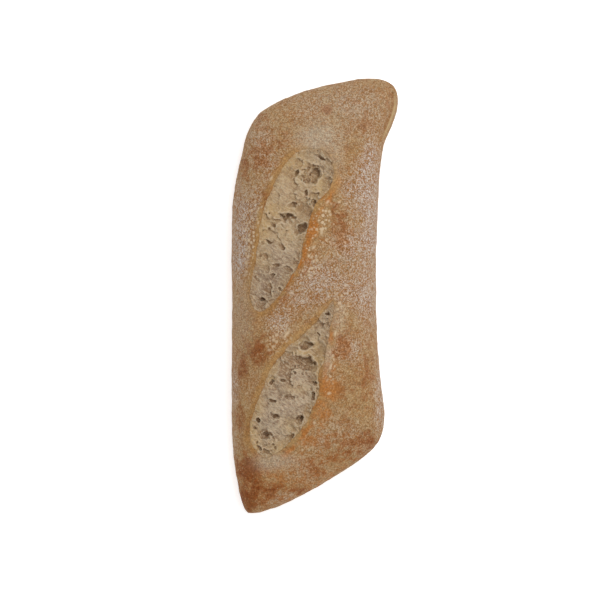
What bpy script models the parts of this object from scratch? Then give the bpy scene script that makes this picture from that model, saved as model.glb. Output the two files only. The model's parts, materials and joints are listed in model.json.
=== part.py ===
"""A rustic half baguette, baked flat on its base.

The loaf is one solid. Its plan is a long slanted shape with two opposite corners drawn out.
The crust rises from the plan's outline as a dome, and curls in below it to a flat base.
Two slashes across the top have torn open, and the crumb shows in them with its larger holes.
The cut side of the dough shows as a groove along the drawn-out far corner.
"""

import math

import bmesh
import bpy
import numpy as np
from mathutils import Vector, noise

MM = 0.001

# Driving sizes, in millimetres
CROWN_HEIGHT = 45.0
END_HEIGHT = 31.0
RIM_HEIGHT = 13.0
END_TAPER_START = 40.0
END_TAPER_STOP = 132.0
DOME_HALF_WIDTH = 36.0
DOME_SHOULDER = 2.3
SIDE_SOFTNESS = 3.0

# How far the dome's steep border and the base lie in from the outline, in millimetres
BORDER_INSET = 9.0
BASE_INSET = 9.0
HALF_WIDTH = 43.5
HALF_LENGTH = 112.0
SETTLE_STEPS = 5
SLOPE_STEP = 0.02

# Cells of the mesh across the loaf, along it, and down its side to the rim and the base
CELLS_ACROSS = 22
CELLS_ALONG = 64
CELLS_ABOVE_RIM = 4
CELLS_BELOW_RIM = 4
SAMPLES_PER_SPAN = 12
SIDE_SAMPLES = 161

# The outline from above, in millimetres, starting at the near left corner and going up the left
OUTLINE = [
    (-40.6, -129.6), (-43.7, -124.4), (-46.4, -112.5), (-48.9, -95.0), (-50.1, -66.0),
    (-49.7, -10.0), (-49.9, 42.0), (-48.2, 65.0), (-43.3, 88.0), (-40.6, 98.0),
    (-36.4, 106.4), (-28.4, 113.5), (-10.0, 121.9), (12.0, 128.0), (31.0, 130.9),
    (42.4, 129.4), (48.0, 125.3), (49.9, 118.0), (47.2, 105.6), (41.6, 91.5),
    (39.2, 75.0), (37.4, 45.0), (36.6, 10.0), (37.4, -25.0), (40.2, -58.0),
    (41.6, -72.0), (40.7, -81.0), (36.8, -89.0), (28.2, -97.2), (4.2, -112.8),
    (-16.0, -123.6), (-29.4, -128.7), (-36.0, -130.0),
]
# The points of the outline where the mesh has its corners, in the same order
CORNERS = ((-40.6, -129.6), (-36.4, 106.4), (48.0, 125.3), (36.8, -89.0))

# The torn mouths of the two slashes from above, in millimetres
FAR_SLASH = [
    (-34.7, -8.9), (-39.0, -3.0), (-38.8, 6.5), (-35.9, 18.5), (-33.8, 33.0), (-30.4, 51.0),
    (-22.3, 67.8), (-10.6, 82.4), (-1.2, 87.0), (8.0, 83.5), (11.2, 73.0), (8.0, 63.7),
    (1.2, 56.6), (-2.4, 46.6), (-6.5, 33.0), (-9.4, 20.0), (-18.2, 5.0), (-25.5, -4.5),
]
NEAR_SLASH = [
    (-31.0, -96.5), (-37.0, -89.8), (-39.2, -80.4), (-36.6, -69.0), (-31.2, -54.5),
    (-25.3, -40.6), (-17.1, -30.6), (-8.8, -24.0), (-1.6, -16.6), (5.6, -8.0), (10.6, -2.6),
    (11.4, -8.6), (8.4, -19.0), (7.4, -28.7), (5.4, -38.0), (2.0, -46.0), (2.0, -54.0),
    (0.4, -63.4), (-3.4, -71.8), (-10.0, -81.0), (-18.2, -89.6), (-24.6, -94.8),
]

# Relief round a slash: depths and heights in millimetres, measured from the dome
MOUTH_DEPTH_LEFT = 0.9
MOUTH_DEPTH_RIGHT = 3.0
CRUMB_DEPTH = 3.0
CRUMB_DIP_WIDTH = 6.0
LIP_HEIGHT_LEFT = 0.6
LIP_HEIGHT_RIGHT = 1.5
LIP_OFFSET = 2.6
LIP_WIDTH = 3.6
CRUMB_CELL = 2.8
CRUMB_RELIEF = 0.7
CRUMB_RELIEF_SIZE = 6.5
CRUST_RELIEF = 0.6
CRUST_RELIEF_SIZE = 24.0

# The slashes' cutters: how far they lean under the right lip for each millimetre of depth
LIP_OVERHANG = 0.6
MOUTH_CUT_DEPTH = 7.0
CUTTER_TOP = 58.0
MERGE_DISTANCE = 0.0001

# The groove of the cut side, along the right side of the far corner
GROOVE_DEPTH = 1.8
GROOVE_OFFSET = 3.4
GROOVE_WIDTH = 1.7
GROOVE_START = 84.0
GROOVE_FULL = 100.0

# Holes in the crumb that show from a step away: x, y, length, width, depth and turn in degrees
FAR_HOLES = [
    (-2.2, 73.0, 14.0, 10.0, 5.0, 66),
    (-11.4, 73.8, 5.6, 3.4, 2.4, 50),
    (3.4, 83.0, 5.2, 2.0, 2.0, -38),
    (8.2, 70.0, 4.6, 2.0, 2.2, 80),
    (-5.4, 61.8, 3.6, 2.6, 2.4, 70),
    (-13.2, 55.4, 6.8, 3.6, 3.0, 5),
    (-1.0, 56.0, 4.4, 3.4, 3.2, 70),
    (-2.6, 49.6, 4.4, 3.0, 3.2, 72),
    (-17.0, 47.8, 9.2, 5.4, 4.0, -12),
    (-7.8, 40.4, 9.0, 6.0, 4.2, 42),
    (-24.6, 43.2, 3.6, 2.2, 2.6, -35),
    (-27.3, 40.2, 2.6, 1.8, 2.0, -60),
    (-27.8, 32.2, 5.0, 2.0, 2.6, -42),
    (-33.0, 24.7, 2.8, 2.2, 2.0, 30),
    (-23.4, 18.4, 3.6, 2.0, 2.2, -10),
    (-25.4, 13.0, 3.8, 1.8, 2.0, -10),
    (-29.4, 4.2, 3.2, 1.8, 2.2, 0),
    (-31.4, -2.2, 3.6, 3.2, 3.4, 20),
]
NEAR_HOLES = [
    (7.0, -10.4, 3.4, 1.9, 2.6, -10),
    (2.0, -22.6, 3.0, 1.6, 1.8, -50),
    (-4.6, -29.4, 9.6, 6.0, 3.6, 10),
    (-6.6, -40.0, 17.0, 9.6, 4.4, -10),
    (-26.4, -51.4, 4.4, 3.2, 2.6, 40),
    (-19.4, -50.0, 5.6, 2.4, 2.4, 0),
    (0.0, -51.4, 3.8, 4.0, 3.2, 60),
    (-0.8, -59.6, 3.2, 5.0, 3.0, 0),
    (-16.8, -60.0, 3.8, 2.4, 2.2, -25),
    (-25.8, -62.4, 4.6, 2.0, 2.0, -10),
    (-24.0, -71.6, 6.2, 3.4, 2.4, -20),
    (-33.4, -73.4, 3.6, 3.0, 3.4, -35),
    (-36.0, -79.0, 2.8, 2.0, 2.2, -35),
    (-9.2, -74.0, 5.2, 6.4, 3.8, -35),
    (-30.2, -83.6, 7.6, 5.4, 3.4, -28),
    (-14.8, -84.2, 5.6, 2.4, 2.4, 42),
    (-33.4, -90.6, 4.0, 1.8, 2.0, -48),
    (-29.0, -92.8, 3.4, 1.8, 2.0, -40),
]
HOLE_SINK = 0.18
HOLE_SIDES = 9
HOLE_ROWS = 6

CRUST_COLOR = (0.42, 0.24, 0.11, 1.0)
CRUST_ROUGHNESS = 0.82


def clear_scene():
    for obj in list(bpy.data.objects):
        bpy.data.objects.remove(obj, do_unlink=True)


def new_collection(name):
    collection = bpy.data.collections.new(name)
    bpy.context.scene.collection.children.link(collection)
    return collection


def smooth_loop(points):
    """A closed centripetal Catmull-Rom curve through the given points, which it meets exactly."""
    given = np.array(points, float)
    before, after = np.roll(given, 1, 0), np.roll(given, -1, 0)
    ahead = np.sqrt(np.linalg.norm(after - given, axis=1))[:, None]
    behind = np.roll(ahead, 1, 0)
    slope = (
        (given - before) / behind - (after - before) / (behind + ahead) + (after - given) / ahead
    )
    t = (np.arange(SAMPLES_PER_SPAN) / SAMPLES_PER_SPAN)[:, None]
    spans = (
        given[:, None] * (1 + 2 * t) * (1 - t)**2
        + after[:, None] * (3 - 2 * t) * t**2
        + (slope * ahead)[:, None] * t * (1 - t)**2
        - (np.roll(slope, -1, 0) * ahead)[:, None] * (1 - t) * t**2
    )
    return spans.reshape(-1, 2)


def evenly(curve):
    """Points at even steps along an open curve."""
    steps = np.linalg.norm(np.diff(curve, axis=0), axis=1)
    length = np.concatenate([[0.0], np.cumsum(steps)])
    at = np.linspace(0.0, length[-1], SIDE_SAMPLES)
    return np.column_stack([np.interp(at, length, curve[:, k]) for k in range(2)])


def four_sides():
    """The outline's curve, split at the mesh corners into left, far, right and near sides."""
    loop = smooth_loop(OUTLINE)
    starts = [OUTLINE.index(corner) * SAMPLES_PER_SPAN for corner in CORNERS]
    stops = starts[1:] + [len(loop)]
    closed = np.vstack([loop, loop[:1]])
    left, far, right, near = (evenly(closed[a:b + 1]) for a, b in zip(starts, stops))
    return left, far, right[::-1], near[::-1]


def patch_point(sides, u, v):
    """The point at u across and v along, each from -1 to 1, of the plan between four sides."""
    left, far, right, near = sides
    s, t = (u[:, None] + 1) / 2, (v[:, None] + 1) / 2

    def on(side, share):
        at = share[:, 0] * (SIDE_SAMPLES - 1)
        return np.column_stack([np.interp(at, range(SIDE_SAMPLES), side[:, k]) for k in range(2)])

    across = (1 - s) * on(left, t) + s * on(right, t)
    lengthwise = (1 - t) * on(near, s) + t * on(far, s)
    corners = (
        (1 - s) * (1 - t) * left[0] + s * (1 - t) * right[0]
        + (1 - s) * t * left[-1] + s * t * right[-1]
    )
    return across + lengthwise - corners


def distance_to(curve, xy):
    """Distance from each point to an open curve."""
    start, step = curve[:-1], np.diff(curve, axis=0)
    offset = xy[:, None, :] - start
    share = np.clip((offset * step).sum(2) / (step**2).sum(1), 0.0, 1.0)
    return np.linalg.norm(offset - share[..., None] * step, axis=2).min(1)


def signed_distance(loop, xy):
    """Distance to a closed curve, negative inside it."""
    ring = np.vstack([loop, loop[:1]])
    x, y = xy[:, :1], xy[:, 1:]
    above = (ring[:-1, 1] > y) != (ring[1:, 1] > y)
    run = np.where(ring[1:, 1] == ring[:-1, 1], 1.0, ring[1:, 1] - ring[:-1, 1])
    crossing = ring[:-1, 0] + (y - ring[:-1, 1]) * (ring[1:, 0] - ring[:-1, 0]) / run
    inside = (above & (x < crossing)).sum(1) % 2 == 1
    return np.where(inside, -1.0, 1.0) * distance_to(ring, xy)


def smoothstep(value, low, high):
    t = np.clip((value - low) / (high - low), 0.0, 1.0)
    return t * t * (3 - 2 * t)


def relief(xy, size, seed):
    """Smooth noise from -1 to 1 over the plan, with lumps of about this size."""
    return np.array([noise.noise(Vector((x / size, y / size, seed))) for x, y in xy])


RIM = four_sides()
SLASHES = [smooth_loop(points) for points in (FAR_SLASH, NEAR_SLASH)]


def rim_distance(xy):
    """Distance from the rim, rounded where the nearest side changes, so that no ridge forms."""
    total = sum(np.maximum(distance_to(side, xy), 1e-6) ** -SIDE_SOFTNESS for side in RIM)
    return total ** (-1 / SIDE_SOFTNESS)


def rightward(loop):
    """The level direction square to a slash's length, to the right."""
    length = loop[loop[:, 1].argmax()] - loop[loop[:, 1].argmin()]
    return np.array([length[1], -length[0]]) / np.linalg.norm(length)


def right_share(loop, xy):
    """0 at a slash's left edge and 1 at its right edge, across the slant of the slash."""
    across, edges = xy @ rightward(loop), loop @ rightward(loop)
    return np.clip((across - edges.min()) / (edges.max() - edges.min()), 0.0, 1.0)


def bump(distance, width):
    return np.exp(-((distance / width) ** 2))


def crust_height(xy):
    """Height of the crust over the plan, with the slashes' raised lips and the corner's groove."""
    taper = smoothstep(np.abs(xy[:, 1]), END_TAPER_START, END_TAPER_STOP)
    crown = CROWN_HEIGHT + (END_HEIGHT - CROWN_HEIGHT) * taper
    share = np.clip(rim_distance(xy) / DOME_HALF_WIDTH, 0.0, 1.0)
    rise = (1 - (1 - share) ** DOME_SHOULDER) ** 0.5
    height = RIM_HEIGHT + (crown - RIM_HEIGHT) * rise
    height += rise * CRUST_RELIEF * relief(xy, CRUST_RELIEF_SIZE, 3.1)
    for loop in SLASHES:
        out = signed_distance(loop, xy)
        lip = LIP_HEIGHT_LEFT + (LIP_HEIGHT_RIGHT - LIP_HEIGHT_LEFT) * right_share(loop, xy)
        height += rise * lip * bump(out - LIP_OFFSET, LIP_WIDTH)
    groove = GROOVE_DEPTH * bump(distance_to(RIM[2], xy) - GROOVE_OFFSET, GROOVE_WIDTH)
    return height - groove * smoothstep(xy[:, 1], GROOVE_START, GROOVE_FULL)


def crumb_height(loop, xy):
    """Height of the torn crumb inside a slash: it drops from the edges and is rough."""
    into = np.clip(-signed_distance(loop, xy), 0.0, None)
    edge = MOUTH_DEPTH_LEFT + (MOUTH_DEPTH_RIGHT - MOUTH_DEPTH_LEFT) * right_share(loop, xy)
    depth = edge + (CRUMB_DEPTH - edge) * smoothstep(into, 0.0, CRUMB_DIP_WIDTH)
    rough = CRUMB_RELIEF * relief(xy, CRUMB_RELIEF_SIZE, 8.4)
    return crust_height(xy) - depth + rough


def divide(bm, axis, cells):
    """Cuts every edge that runs along this axis into equal cells."""
    edges = [
        e for e in bm.edges
        if abs(e.verts[0].co[axis] - e.verts[1].co[axis]) > 1e-6
    ]
    bmesh.ops.subdivide_edges(bm, edges=edges, cuts=cells - 1, use_grid_fill=True)


def settled(xy, inset):
    """Moves points in or out along the slope of the rim distance until it equals the inset."""
    for _ in range(SETTLE_STEPS):
        here = rim_distance(xy)
        slope = np.column_stack([
            rim_distance(xy + (SLOPE_STEP, 0.0)) - here,
            rim_distance(xy + (0.0, SLOPE_STEP)) - here,
        ]) / SLOPE_STEP
        xy = xy + ((inset - here) / (slope**2).sum(1))[:, None] * slope
    return xy


def inset_sides():
    """The four sides of the dome's flatter top, an even distance inside the rim."""
    share = np.linspace(-1.0, 1.0, SIDE_SAMPLES)
    edge = np.ones(SIDE_SAMPLES)
    across, lengthwise = 1 - BORDER_INSET / HALF_WIDTH, 1 - BORDER_INSET / HALF_LENGTH
    ends = ((-edge, share), (share, edge), (edge, share), (share, -edge))
    return [settled(patch_point(RIM, u * across, v * lengthwise), BORDER_INSET) for u, v in ends]


def shaped_box(u, v, level):
    """Places a box's points: the top becomes the dome, and the sides go over the rim and under.

    The level is 0 on the box's base, 1 at the rim and 2 along the edges of its top.
    """
    below = np.clip(1 - level, 0.0, 1.0) * math.pi / 2
    above = np.clip(level - 1, 0.0, 1.0)
    inset = BASE_INSET * (1 - np.cos(below)) + BORDER_INSET * above**2
    rim, xy = patch_point(RIM, u, v), patch_point(inset_sides(), u, v)
    side = (level < 2 - 1e-6) & (inset > 0)
    share = (inset[side] / BORDER_INSET)[:, None]
    xy[side] = settled(rim[side] + share * (xy[side] - rim[side]), inset[side])
    xy[inset == 0] = rim[inset == 0]
    z = RIM_HEIGHT * (1 - np.sin(below))
    dome = level > 1 + 1e-6
    z[dome] = crust_height(xy[dome])
    return np.column_stack([xy, z])


def make_loaf(collection):
    bm = bmesh.new()
    bmesh.ops.create_cube(bm, size=2.0)
    rows = CELLS_ABOVE_RIM + CELLS_BELOW_RIM
    for axis, cells in enumerate((CELLS_ACROSS, CELLS_ALONG, rows)):
        divide(bm, axis, cells)
    base = [f for f in bm.faces if f.normal.z < -0.9]
    bmesh.ops.dissolve_faces(bm, faces=base, use_verts=True)
    box = np.array([v.co for v in bm.verts])
    row = (box[:, 2] + 1) / 2 * rows
    level = np.interp(row, (0, CELLS_BELOW_RIM, rows), (0, 1, 2))
    for vert, place in zip(bm.verts, shaped_box(box[:, 0], box[:, 1], level)):
        vert.co = place * MM
    mesh = bpy.data.meshes.new("loaf")
    bm.to_mesh(mesh)
    bm.free()
    mesh.shade_smooth()
    mesh.set_sharp_from_angle(angle=math.radians(40))
    loaf = bpy.data.objects.new("loaf", mesh)
    loaf.data.materials.append(crust_material())
    collection.objects.link(loaf)
    return loaf


def crust_material():
    material = bpy.data.materials.new("crust")
    material.use_nodes = True
    shader = material.node_tree.nodes["Principled BSDF"]
    shader.inputs["Base Color"].default_value = CRUST_COLOR
    shader.inputs["Roughness"].default_value = CRUST_ROUGHNESS
    shader.inputs["Metallic"].default_value = 0.0
    return material


def as_cutter(name, bm, collection):
    """Turns a bmesh into a cutter whose faces point outward."""
    bmesh.ops.recalc_face_normals(bm, faces=bm.faces)
    mesh = bpy.data.meshes.new(name)
    bm.to_mesh(mesh)
    bm.free()
    obj = bpy.data.objects.new(name, mesh)
    obj.hide_render = True
    obj.display_type = "WIRE"
    collection.objects.link(obj)
    return obj


def add_boolean(obj, operation, operand):
    modifier = obj.modifiers.new(operation.title(), "BOOLEAN")
    modifier.operation = operation
    modifier.solver = "EXACT"
    if isinstance(operand, bpy.types.Collection):
        modifier.operand_type = "COLLECTION"
        modifier.collection = operand
    else:
        modifier.object = operand


def flat_prism(name, ring):
    """The mesh of a filled closed outline, extruded up and down by 1."""
    curve = bpy.data.curves.new(name, "CURVE")
    curve.dimensions = "2D"
    curve.fill_mode = "BOTH"
    curve.extrude = 1.0
    spline = curve.splines.new("POLY")
    spline.points.add(len(ring) - 1)
    for point, (x, y) in zip(spline.points, ring):
        point.co = (x, y, 0.0, 1.0)
    spline.use_cyclic_u = True
    outline = bpy.data.objects.new(name, curve)
    bpy.context.scene.collection.objects.link(outline)
    graph = bpy.context.evaluated_depsgraph_get()
    mesh = bpy.data.meshes.new_from_object(outline.evaluated_get(graph))
    bpy.data.objects.remove(outline)
    return mesh


def mouth_prism(name, loop, collection):
    """A prism over a slash's mouth that leans, so that it cuts in under the right lip."""
    bm = bmesh.new()
    bm.from_mesh(flat_prism(name, loop[::SAMPLES_PER_SPAN // 3]))
    bmesh.ops.remove_doubles(bm, verts=bm.verts, dist=MERGE_DISTANCE)
    flat = np.array([v.co for v in bm.verts])
    crust = crust_height(flat[:, :2])
    height = np.where(flat[:, 2] > 0, CUTTER_TOP, crust - MOUTH_CUT_DEPTH)
    lean = LIP_OVERHANG * (crust - height)[:, None] * rightward(loop)
    for vert, place in zip(bm.verts, np.column_stack([flat[:, :2] + lean, height])):
        vert.co = place * MM
    return as_cutter(name, bm, collection)


def crumb_block(name, loop, collection):
    """What lies over the crumb of a slash: a grid that follows it, extruded up past the loaf."""
    low, high = loop.min(0) - CRUMB_CELL, loop.max(0) + CRUMB_CELL
    cells = np.ceil((high - low) / CRUMB_CELL).astype(int)
    bm = bmesh.new()
    bmesh.ops.create_grid(bm, x_segments=int(cells[0]), y_segments=int(cells[1]), size=1.0)
    flat = np.array([v.co for v in bm.verts])
    xy = low + (flat[:, :2] + 1) / 2 * (high - low)
    for vert, place, height in zip(bm.verts, xy, crumb_height(loop, xy)):
        vert.co = Vector((*place, height)) * MM
    lid = bmesh.ops.extrude_face_region(bm, geom=bm.faces[:])["geom"]
    for vert in (g for g in lid if isinstance(g, bmesh.types.BMVert)):
        vert.co.z = (CUTTER_TOP - 1.0) * MM
    return as_cutter(name, bm, collection)


def cut_slash(loaf, name, loop, collection):
    block = crumb_block(name, loop, collection)
    add_boolean(block, "INTERSECT", mouth_prism(name + "_mouth", loop, collection))
    add_boolean(loaf, "DIFFERENCE", block)


def make_holes(name, loop, holes, collection):
    """An ellipsoid for each large hole, centred a little below the crumb."""
    spots = np.array(holes)[:, :2]
    for number, (hole, surface) in enumerate(zip(holes, crumb_height(loop, spots))):
        x, y, length, width, depth, turn = hole
        bm = bmesh.new()
        bmesh.ops.create_uvsphere(bm, u_segments=HOLE_SIDES, v_segments=HOLE_ROWS, radius=MM)
        bmesh.ops.scale(bm, vec=(length / 2, width / 2, depth), verts=bm.verts)
        cutter = as_cutter(f"{name}_hole_{number:02d}", bm, collection)
        cutter.location = Vector((x, y, surface - HOLE_SINK * depth)) * MM
        cutter.rotation_euler.z = math.radians(turn)


def main():
    clear_scene()
    parts = new_collection("baguette")
    cutters = new_collection("slash_cutters")
    hole_cutters = new_collection("hole_cutters")
    loaf = make_loaf(parts)
    for name, loop, holes in zip(("far", "near"), SLASHES, (FAR_HOLES, NEAR_HOLES)):
        cut_slash(loaf, name + "_slash", loop, cutters)
        make_holes(name, loop, holes, hole_cutters)
    add_boolean(loaf, "DIFFERENCE", hole_cutters)


main()
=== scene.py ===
"""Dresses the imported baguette: a floured crust with two torn slashes, and the airy crumb in them.

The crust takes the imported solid's own form on a much finer mesh, open where the slashes have torn.
The crumb in each slash is a body of its own, hollowed by its named holes and many small bubbles.
"""

import json
import math

import bpy
import numpy as np
import openvdb
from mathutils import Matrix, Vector, kdtree, noise

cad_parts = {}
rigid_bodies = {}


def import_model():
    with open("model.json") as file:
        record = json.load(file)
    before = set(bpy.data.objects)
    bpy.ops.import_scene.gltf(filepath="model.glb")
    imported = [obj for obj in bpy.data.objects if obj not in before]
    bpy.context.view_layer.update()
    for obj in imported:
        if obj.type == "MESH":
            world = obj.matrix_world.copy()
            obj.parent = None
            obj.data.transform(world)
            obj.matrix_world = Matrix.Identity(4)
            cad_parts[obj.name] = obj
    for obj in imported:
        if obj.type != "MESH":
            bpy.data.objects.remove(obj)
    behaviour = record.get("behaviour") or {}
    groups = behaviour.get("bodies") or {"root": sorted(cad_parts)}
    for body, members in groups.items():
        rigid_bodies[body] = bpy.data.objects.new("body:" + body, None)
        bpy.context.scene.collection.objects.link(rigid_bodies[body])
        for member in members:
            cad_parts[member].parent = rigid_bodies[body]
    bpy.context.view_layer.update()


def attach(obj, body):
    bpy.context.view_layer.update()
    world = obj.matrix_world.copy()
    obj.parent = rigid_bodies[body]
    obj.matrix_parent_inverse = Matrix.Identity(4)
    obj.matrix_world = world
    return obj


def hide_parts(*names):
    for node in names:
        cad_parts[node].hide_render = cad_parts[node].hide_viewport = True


MM = 0.001

# The loaf's form, in millimetres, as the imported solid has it
CROWN_HEIGHT = 45.0
END_HEIGHT = 31.0
RIM_HEIGHT = 13.0
END_TAPER_START = 40.0
END_TAPER_STOP = 132.0
DOME_HALF_WIDTH = 36.0
DOME_SHOULDER = 2.3
SIDE_SOFTNESS = 3.0
BORDER_INSET = 9.0
BASE_INSET = 9.0
HALF_WIDTH = 43.5
HALF_LENGTH = 112.0
SETTLE_STEPS = 5
SLOPE_STEP = 0.02
SAMPLES_PER_SPAN = 12
SIDE_SAMPLES = 161
CRUMB_DEPTH = 3.0
LIP_HEIGHT_LEFT = 0.6
LIP_HEIGHT_RIGHT = 1.5
LIP_OFFSET = 2.6
LIP_WIDTH = 3.6
CRUMB_RELIEF = 0.7
CRUMB_RELIEF_SIZE = 6.5
CRUST_RELIEF = 0.6
CRUST_RELIEF_SIZE = 24.0
LIP_OVERHANG = 0.6
GROOVE_DEPTH = 1.8
GROOVE_OFFSET = 3.4
GROOVE_WIDTH = 1.7
GROOVE_START = 84.0
GROOVE_FULL = 100.0
HOLE_SINK = 0.18

# The outline from above, in millimetres, starting at the near left corner and going up the left
OUTLINE = [
    (-40.6, -129.6), (-43.7, -124.4), (-46.4, -112.5), (-48.9, -95.0), (-50.1, -66.0),
    (-49.7, -10.0), (-49.9, 42.0), (-48.2, 65.0), (-43.3, 88.0), (-40.6, 98.0),
    (-36.4, 106.4), (-28.4, 113.5), (-10.0, 121.9), (12.0, 128.0), (31.0, 130.9),
    (42.4, 129.4), (48.0, 125.3), (49.9, 118.0), (47.2, 105.6), (41.6, 91.5),
    (39.2, 75.0), (37.4, 45.0), (36.6, 10.0), (37.4, -25.0), (40.2, -58.0),
    (41.6, -72.0), (40.7, -81.0), (36.8, -89.0), (28.2, -97.2), (4.2, -112.8),
    (-16.0, -123.6), (-29.4, -128.7), (-36.0, -130.0),
]
CORNERS = ((-40.6, -129.6), (-36.4, 106.4), (48.0, 125.3), (36.8, -89.0))

# The torn mouths of the two slashes from above, in millimetres
FAR_SLASH = [
    (-34.7, -8.9), (-39.0, -3.0), (-38.8, 6.5), (-35.9, 18.5), (-33.8, 33.0), (-30.4, 51.0),
    (-22.3, 67.8), (-10.6, 82.4), (-1.2, 87.0), (8.0, 83.5), (11.2, 73.0), (8.0, 63.7),
    (1.2, 56.6), (-2.4, 46.6), (-6.5, 33.0), (-9.4, 20.0), (-18.2, 5.0), (-25.5, -4.5),
]
NEAR_SLASH = [
    (-31.0, -96.5), (-37.0, -89.8), (-39.2, -80.4), (-36.6, -69.0), (-31.2, -54.5),
    (-25.3, -40.6), (-17.1, -30.6), (-8.8, -24.0), (-1.6, -16.6), (5.6, -8.0), (10.6, -2.6),
    (11.4, -8.6), (8.4, -19.0), (7.4, -28.7), (5.4, -38.0), (2.0, -46.0), (2.0, -54.0),
    (0.4, -63.4), (-3.4, -71.8), (-10.0, -81.0), (-18.2, -89.6), (-24.6, -94.8),
]

# The far slash as it has torn on, a little further to the upper left than the solid's
FAR_MOUTH = [
    (-34.7, -8.9), (-39.0, -3.0), (-38.8, 6.5), (-36.2, 18.5), (-34.2, 33.0), (-31.2, 50.0),
    (-25.8, 65.0), (-19.0, 77.6), (-10.8, 86.2), (-1.4, 88.8), (7.6, 85.2), (11.2, 75.0),
    (8.6, 64.6), (1.8, 57.2), (-2.4, 46.6), (-6.5, 33.0), (-9.8, 20.0), (-18.2, 5.0),
    (-25.5, -4.5),
]

# Larger holes in the crumb: x, y, length, width, depth and turn in degrees
FAR_HOLES = [
    (-2.2, 73.0, 14.0, 10.0, 5.0, 66),
    (-11.4, 73.8, 5.6, 3.4, 2.4, 50),
    (3.4, 83.0, 5.2, 2.0, 2.0, -38),
    (8.2, 70.0, 4.6, 2.0, 2.2, 80),
    (-5.4, 61.8, 3.6, 2.6, 2.4, 70),
    (-13.2, 55.4, 6.8, 3.6, 3.0, 5),
    (-1.0, 56.0, 4.4, 3.4, 3.2, 70),
    (-2.6, 49.6, 4.4, 3.0, 3.2, 72),
    (-17.0, 47.8, 9.2, 5.4, 4.0, -12),
    (-7.8, 40.4, 9.0, 6.0, 4.2, 42),
    (-24.6, 43.2, 3.6, 2.2, 2.6, -35),
    (-27.3, 40.2, 2.6, 1.8, 2.0, -60),
    (-27.8, 32.2, 5.0, 2.0, 2.6, -42),
    (-33.0, 24.7, 2.8, 2.2, 2.0, 30),
    (-23.4, 18.4, 3.6, 2.0, 2.2, -10),
    (-25.4, 13.0, 3.8, 1.8, 2.0, -10),
    (-29.4, 4.2, 3.2, 1.8, 2.2, 0),
    (-31.4, -2.2, 3.6, 3.2, 3.4, 20),
]
NEAR_HOLES = [
    (7.0, -10.4, 3.4, 1.9, 2.6, -10),
    (2.0, -22.6, 3.0, 1.6, 1.8, -50),
    (-4.6, -29.4, 9.6, 6.0, 3.6, 10),
    (-6.6, -40.0, 17.0, 9.6, 4.4, -10),
    (-26.4, -51.4, 4.4, 3.2, 2.6, 40),
    (-19.4, -50.0, 5.6, 2.4, 2.4, 0),
    (0.0, -51.4, 3.8, 4.0, 3.2, 60),
    (-0.8, -59.6, 3.2, 5.0, 3.0, 0),
    (-16.8, -60.0, 3.8, 2.4, 2.2, -25),
    (-25.8, -62.4, 4.6, 2.0, 2.0, -10),
    (-24.0, -71.6, 6.2, 3.4, 2.4, -20),
    (-33.4, -73.4, 3.6, 3.0, 3.4, -35),
    (-36.0, -79.0, 2.8, 2.0, 2.2, -35),
    (-9.2, -74.0, 5.2, 6.4, 3.8, -35),
    (-30.2, -83.6, 7.6, 5.4, 3.4, -28),
    (-14.8, -84.2, 5.6, 2.4, 2.4, 42),
    (-33.4, -90.6, 4.0, 1.8, 2.0, -48),
    (-29.0, -92.8, 3.4, 1.8, 2.0, -40),
]

# Cells of the crust's mesh across the loaf, along it, and down its side to the rim and the base
CELLS_ACROSS = 124
CELLS_ALONG = 384
CELLS_ABOVE_RIM = 13
CELLS_BELOW_RIM = 12
MOUTH_CLEARANCE = 0.3

# The torn edge of the crust: how it wanders, and the rows of its cut side by depth, all in mm
EDGE_STEP = 0.4
EDGE_WANDERS = ((9.0, 0.9), (3.5, 0.55), (1.4, 0.3))
CUT_ROWS = (0.0, 0.25, 0.7, 1.4, 2.4, 3.6, 5.0)
CUT_BULGE = 0.25
CUT_BULGE_DEPTH = 1.2

# Fine relief of the crust: size and height in mm
CRUST_LUMPS = ((9.0, 0.35), (3.4, 0.18), (1.6, 0.10))
BASE_CALM_HEIGHT = 3.0
LIP_CALM_WIDTH = 4.0
FLECK_HEIGHT = 0.25
FLECK_POWER = 1.5

# Looks from above fade out down the sides, from the rim to this height in mm, where the slashes
# count as so much further away
LOOKS_END_HEIGHT = 4.0
FAR_BELOW = 20.0

# The cream strip and its brown seam: their insets from the right side, widths and range along it
STRIPS = {"strip": (1.7, 0.6), "seam": (3.0, 0.6)}
STRIP_START = (92.0, 102.0)
STRIP_END = (123.0, 114.0)

# The crumb is drawn up to the torn edge: the step left there, and the width of its slope
WEB_STEP = 0.05
WEB_WIDTH = 6.5

# The crumb's body: voxel, how far it reaches under the crust, up and down, all in mm
VOXEL = 0.32
CRUMB_MARGIN = 3.2
CRUMB_UP = 2.2
CRUMB_DOWN = 8.0
CRUMB_TRIM = 6.6
UNDER_CRUST_START = 0.3
UNDER_CRUST_SLOPE = 1.3
RIM_OF_BUBBLE = 0.3
RIDGE_REACH = 3
VOLUME_EMPTY = 10.0

# The crumb's roughness in mm: waves by size and height, fibres by width, length and height
CRUMB_WAVES = ((5.0, 0.48), (2.4, 0.38), (1.2, 0.20))
CRUMB_WAVE_TURN = 20.0
CRUMB_FIBRE_TURN = -35.0
CRUMB_FIBRES = ((1.5, 4.0, 0.24), (0.8, 2.0, 0.24))
FIBRE_EVEN = 0.6
FIBRE_UNEVEN = 0.4
FIBRE_UNEVEN_SIZE = 7.0
EDGE_CALM = 0.6
EDGE_CALM_WIDTH = 4.0

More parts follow.
